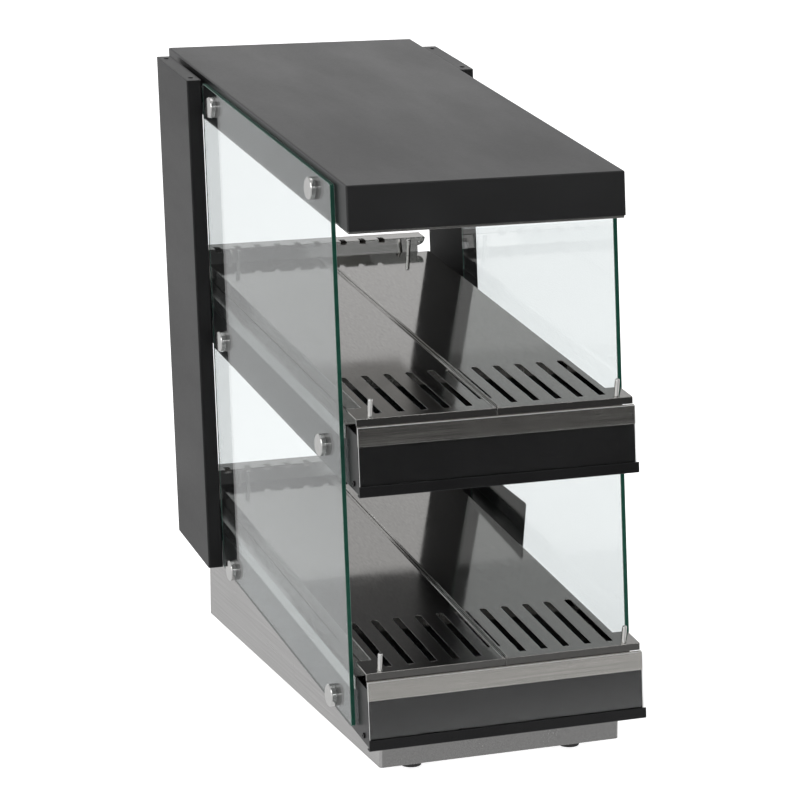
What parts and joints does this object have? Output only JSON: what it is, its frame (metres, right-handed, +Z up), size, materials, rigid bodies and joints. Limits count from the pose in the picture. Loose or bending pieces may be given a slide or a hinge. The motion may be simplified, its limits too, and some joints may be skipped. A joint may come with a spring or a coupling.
{
  "type": "burger warming display",
  "caption": "Tiered counter-top warming display for wrapped burgers: sloped heated shelves, glass sides on polished stand-offs, black cover and columns, steel plinth, crumb drawers.",
  "frame": {"origin": "centre of the footprint of the overall box, on the counter under the feet", "axes": "+Z up, -Y towards the customer side where the shelves fall to, +X to the right seen from the front"},
  "size_m": [0.364, 0.7235, 0.7125],
  "materials": {
    "black_coat": "satin powder coat",
    "stainless": "fine brushed",
    "polished": "polished",
    "glass": "clear toughened",
    "clear_acrylic": "clear",
    "rubber": "matt",
    "black_plastic": "fine texture",
    "silicone": "matt",
    "aluminium": "mill",
    "opal": "opal",
    "circuit": "white lacquer",
    "fibre": "fibre board",
    "brass": "plain",
    "amber": "translucent",
    "zinc": "zinc plated",
    "sleeve": "natural nylon"
  },
  "bodies": {
    "frame": {"base_plinth": "stainless", "base_bottom_plate": "stainless", "rubber_feet": "rubber", "feet_screws": "zinc", "lower_housing": "black_coat", "upper_housing": "black_coat", "side_rails": "stainless", "rear_bar_upper": "stainless", "rear_bar_lower": "stainless", "stop_pins": "polished", "heater_plates": "aluminium", "heater_mats": "silicone", "insulation": "fibre", "heat_shields": "stainless", "sensor_bulbs": "brass", "top_cover": "black_coat", "cover_inner_panel": "stainless", "light_diffuser": "opal", "led_housing": "aluminium", "led_strip": "circuit", "column_left": "black_coat", "column_right": "black_coat", "column_caps": "black_coat", "column_cap_screws": "zinc", "column_spacers": "black_coat", "glass_left": "glass", "glass_right": "glass", "standoff_caps": "polished", "standoff_studs": "zinc", "standoff_nuts": "zinc", "glass_sleeves": "sleeve", "side_cover": "black_coat", "side_cover_screws": "zinc", "control_panel": "stainless", "control_panel_screws": "zinc", "switch_frames": "black_plastic", "thermostat_bodies": "black_plastic", "pilot_lamps": "amber", "power_inlet": "black_plastic", "inlet_pins": "brass", "terminal_block": "sleeve", "small_screws": "zinc"},
    "drawer_upper": {"crumb_tray_upper": "stainless", "drawer_front_upper": "black_coat", "label_strip_upper": "stainless", "drawer_nuts_upper": "zinc"},
    "drawer_lower": {"crumb_tray_lower": "stainless", "drawer_front_lower": "black_coat", "label_strip_lower": "stainless", "drawer_nuts_lower": "zinc"},
    "label_window_upper": {"label_cover_upper": "clear_acrylic"},
    "label_window_lower": {"label_cover_lower": "clear_acrylic"},
    "plate_ul": {"plate_upper_left": "stainless"},
    "plate_ur": {"plate_upper_right": "stainless"},
    "plate_ll": {"plate_lower_left": "stainless"},
    "plate_lr": {"plate_lower_right": "stainless"},
    "main_rocker": {"main_switch_rocker": "black_plastic"},
    "light_rocker": {"light_switch_rocker": "black_plastic"},
    "upper_knob": {"knob_upper": "black_plastic"},
    "lower_knob": {"knob_lower": "black_plastic"}
  },
  "joints": [
    {"name": "upper_drawer_slide", "type": "slide", "parent": "frame", "child": "drawer_upper", "axis": [0, -0.9922, -0.1246], "range_m": [0, 0.35]},
    {"name": "lower_drawer_slide", "type": "slide", "parent": "frame", "child": "drawer_lower", "axis": [0, -0.9922, -0.1246], "range_m": [0, 0.25]},
    {"name": "upper_label_window_slide", "type": "slide", "parent": "drawer_upper", "child": "label_window_upper", "axis": [0, 0.107, 0.9943], "range_m": [0, 0.07]},
    {"name": "lower_label_window_slide", "type": "slide", "parent": "drawer_lower", "child": "label_window_lower", "axis": [0, 0.107, 0.9943], "range_m": [0, 0.07]},
    {"name": "upper_left_plate_lift", "type": "slide", "parent": "frame", "child": "plate_ul", "axis": [0, -0.1246, 0.9922], "range_m": [0, 0.06]},
    {"name": "upper_right_plate_lift", "type": "slide", "parent": "frame", "child": "plate_ur", "axis": [0, -0.1246, 0.9922], "range_m": [0, 0.06]},
    {"name": "lower_left_plate_lift", "type": "slide", "parent": "frame", "child": "plate_ll", "axis": [0, -0.1246, 0.9922], "range_m": [0, 0.06]},
    {"name": "lower_right_plate_lift", "type": "slide", "parent": "frame", "child": "plate_lr", "axis": [0, -0.1246, 0.9922], "range_m": [0, 0.06]},
    {"name": "main_switch", "type": "hinge", "parent": "frame", "child": "main_rocker", "pos_m": [0.088, 0.2821, 0.062], "axis": [1, 0, 0], "range_deg": [-22, 0]},
    {"name": "light_switch", "type": "hinge", "parent": "frame", "child": "light_rocker", "pos_m": [-0.056, 0.2821, 0.062], "axis": [1, 0, 0], "range_deg": [-22, 0]},
    {"name": "upper_thermostat", "type": "hinge", "parent": "frame", "child": "upper_knob", "pos_m": [0.038, 0.2831, 0.058], "axis": [0, -1, 0], "range_deg": [0, 270]},
    {"name": "lower_thermostat", "type": "hinge", "parent": "frame", "child": "lower_knob", "pos_m": [-0.012, 0.2831, 0.058], "axis": [0, -1, 0], "range_deg": [0, 270]}
  ]
}
